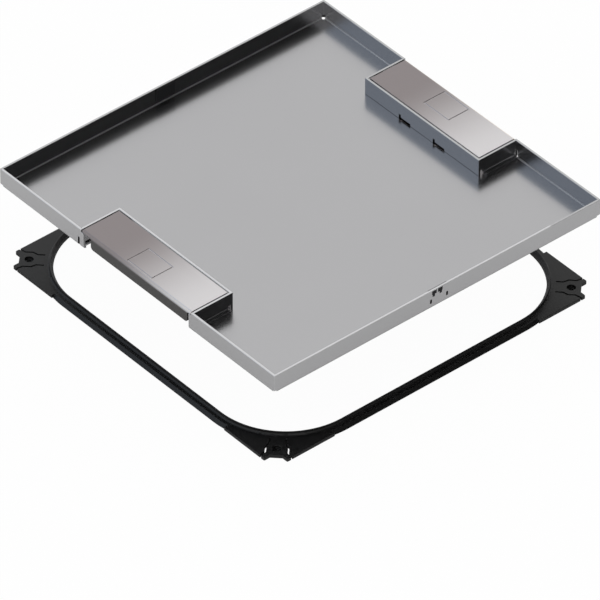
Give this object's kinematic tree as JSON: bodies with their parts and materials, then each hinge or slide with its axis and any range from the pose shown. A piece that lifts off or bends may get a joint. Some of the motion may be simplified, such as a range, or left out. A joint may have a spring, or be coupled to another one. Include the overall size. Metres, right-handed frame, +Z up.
{
  "type": "floor box cover",
  "caption": "Square recessed steel floor box cover with hinged cord lids in opposite sides, lifted above the black moulded ring that it is set down on.",
  "frame": {"origin": "middle of the ring's underside, which lies on the box below", "axes": "+Z up out of the floor, X along the lids' long sides, the front lid towards -Y and the rear lid towards +Y"},
  "size_m": [0.35, 0.35, 0.098],
  "materials": {
    "tray_steel": "satin rolled sheet",
    "lid_steel": "fine brushed sheet",
    "pin_steel": "turned",
    "clip_plastic": "fine matt moulding",
    "ring_plastic": "fine matt moulding"
  },
  "bodies": {
    "cover_and_ring": {"mounting_ring": "ring_plastic", "tray_pan": "tray_steel", "front_bay_bracket": "tray_steel", "rear_bay_bracket": "tray_steel", "front_left_pin": "pin_steel", "front_right_pin": "pin_steel", "rear_left_pin": "pin_steel", "rear_right_pin": "pin_steel", "left_clip": "clip_plastic", "right_clip": "clip_plastic"},
    "front_lid": {"front_lid": "lid_steel"},
    "rear_lid": {"rear_lid": "lid_steel"}
  },
  "joints": [
    {"name": "front_lid_hinge", "type": "hinge", "parent": "cover_and_ring", "child": "front_lid", "pos_m": [0, -0.1473, 0.09425], "axis": [-1, 0, 0], "range_deg": [0, 140]},
    {"name": "rear_lid_hinge", "type": "hinge", "parent": "cover_and_ring", "child": "rear_lid", "pos_m": [0, 0.1473, 0.09425], "axis": [1, 0, 0], "range_deg": [0, 140]}
  ]
}
